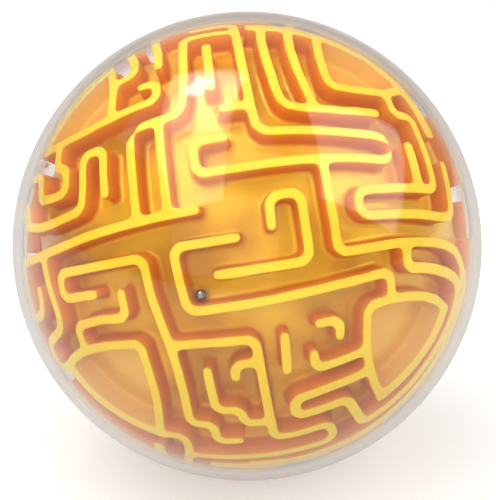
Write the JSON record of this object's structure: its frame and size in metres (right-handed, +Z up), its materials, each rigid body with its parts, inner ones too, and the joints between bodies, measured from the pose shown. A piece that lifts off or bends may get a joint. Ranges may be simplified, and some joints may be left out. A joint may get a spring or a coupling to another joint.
{
  "type": "tilt maze game",
  "caption": "Clear sphere puzzle: a hollow ball with raised maze walls fills a clear outer shell, and a loose steel ball rolls along its lanes as the sphere is tilted.",
  "frame": {"origin": "centre of the sphere, which is the centre of the bounding box", "axes": "+Z up as the ball is held, +Y away from the viewer, +X to the viewer's right. The front half's pole leans 20 degrees above -Y, the seam between the halves is square to that pole, and the maze is turned 9 degrees about it"},
  "size_m": [0.12, 0.1199, 0.1197],
  "materials": {
    "clear_shell": "clear, polished",
    "amber_maze": "translucent amber, satin wall tops",
    "pink_marker": "glossy",
    "green_marker": "glossy",
    "polished_steel": "mirror polished"
  },
  "bodies": {
    "casing": {"front_shell": "clear_shell", "rear_shell": "clear_shell", "front_maze": "amber_maze", "rear_maze": "amber_maze", "start_marker": "pink_marker", "finish_marker": "green_marker"},
    "ball": {"steel_ball": "polished_steel"}
  },
  "joints": [
    {"name": "ball_in_lane", "type": "hinge", "parent": "casing", "child": "ball", "pos_m": [0, 0, 0], "axis": [-0.1687, 0.1961, 0.966], "range_deg": [0, 48]}
  ]
}
